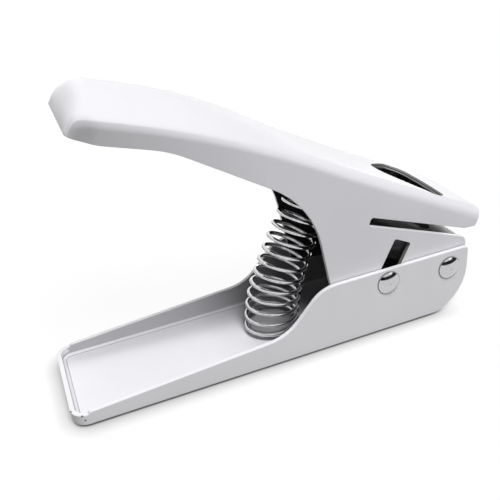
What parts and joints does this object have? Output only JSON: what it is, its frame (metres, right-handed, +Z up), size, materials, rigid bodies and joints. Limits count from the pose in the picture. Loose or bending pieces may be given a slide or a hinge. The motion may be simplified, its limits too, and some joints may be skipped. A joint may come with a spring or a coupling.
{
  "type": "guitar pick punch",
  "caption": "Hand lever press of painted sheet steel: squeezing the sprung lever onto the tray drives a pick-shaped punch through a card slit into a die.",
  "frame": {"origin": "middle of the flat underside of the base tray, on the surface that it stands on", "axes": "+X along the tray from its front lip to the nose with the card slit, +Y across, +Z up"},
  "size_m": [0.1485, 0.0428, 0.0997],
  "materials": {
    "painted_sheet": "semi-gloss silver grey paint",
    "polished_steel": "polished",
    "spring_wire": "bright nickel",
    "tool_steel": "ground",
    "black_steel": "blackened",
    "bronze": "turned"
  },
  "bodies": {
    "base": {"base_tray": "painted_sheet", "pivot_pin": "polished_steel", "drive_pin": "polished_steel", "drive_sleeve": "tool_steel", "spring_seat": "painted_sheet", "seat_rivet": "polished_steel", "return_spring": "spring_wire"},
    "lever": {"lever_shell": "painted_sheet", "upper_die": "tool_steel", "lower_guide": "tool_steel", "card_stop": "tool_steel", "die_screws": "black_steel", "die_dowels": "polished_steel", "pivot_bush": "bronze", "spring_cup": "polished_steel"},
    "punch": {"punch": "black_steel", "punch_yoke": "black_steel", "punch_screws": "black_steel", "punch_dowels": "polished_steel"}
  },
  "joints": [
    {"name": "lever_hinge", "type": "hinge", "parent": "base", "child": "lever", "pos_m": [0.0634, 0, 0.0181], "axis": [0, -1, 0], "range_deg": [0, 17], "stiffness_Nm_per_rad": 4, "springref_deg": -8.02, "deforming": ["return_spring"]},
    {"name": "punch_slide", "type": "slide", "parent": "lever", "child": "punch", "axis": [0.3535, 0, 0.9354], "range_m": [0, 0.00706]}
  ],
  "couplings": [
    {"joint": "punch_slide", "follows": "lever_hinge", "m_per_rad": 0.023743}
  ]
}
